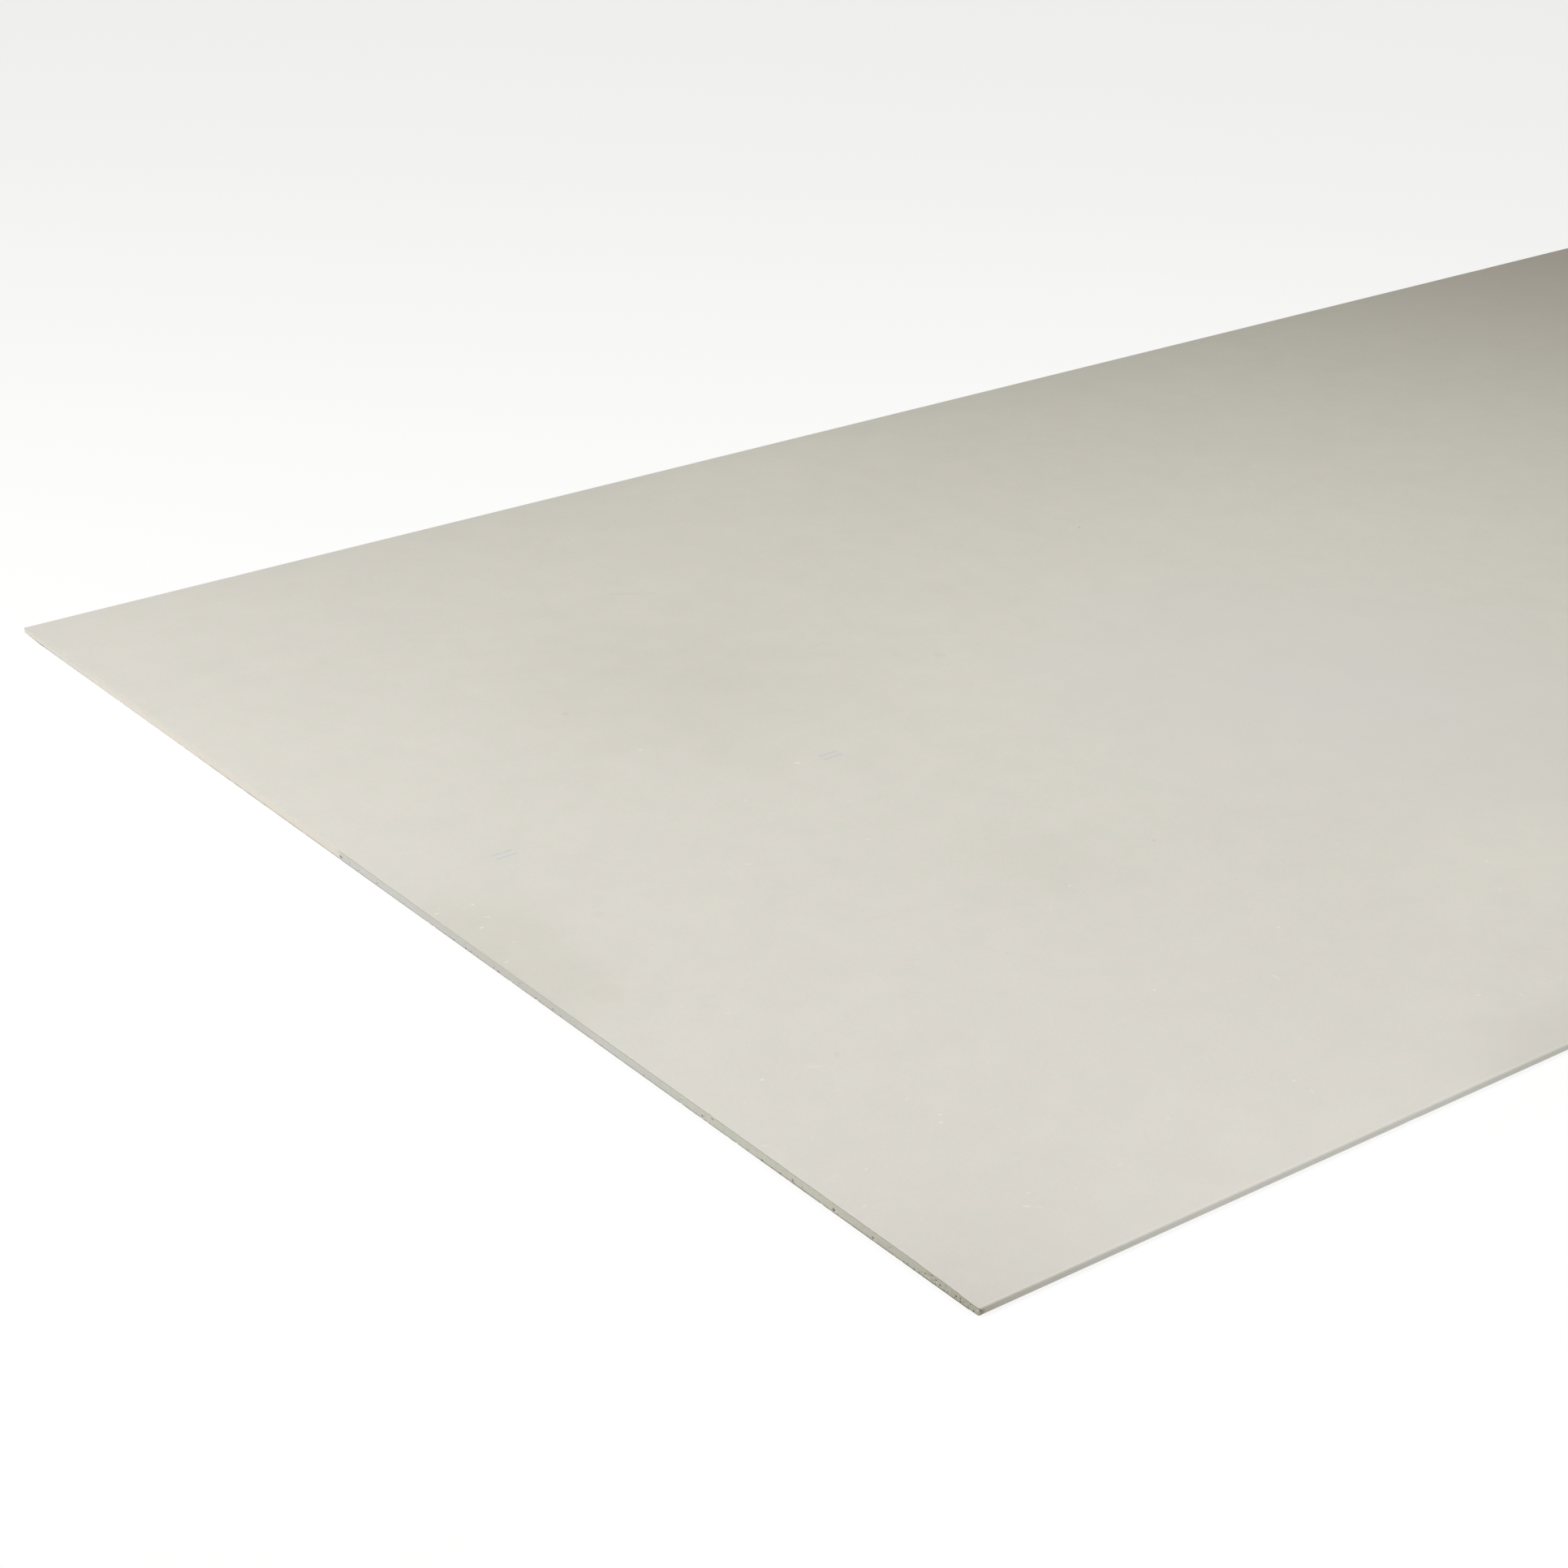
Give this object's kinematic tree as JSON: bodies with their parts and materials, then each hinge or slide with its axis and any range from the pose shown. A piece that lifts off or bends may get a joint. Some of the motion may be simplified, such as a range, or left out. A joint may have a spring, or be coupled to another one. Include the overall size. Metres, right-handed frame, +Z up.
{
  "type": "drywall sheet",
  "caption": "Thin gypsum drywall sheet with face paper wrapped round tapered long edges and square-cut ends.",
  "frame": {"origin": "middle of the sheet's underside, which is the outer side of the back paper, at floor level", "axes": "+X along the sheet's length from one cut end to the other, +Y across its width, +Z up out of the face paper"},
  "size_m": [2.4, 1.2, 0.0065],
  "materials": {
    "gypsum": "matte",
    "face_paper": "matte",
    "back_paper": "matte"
  },
  "bodies": {
    "root": {"gypsum_core": "gypsum", "face_paper": "face_paper", "back_paper": "back_paper"}
  },
  "joints": []
}
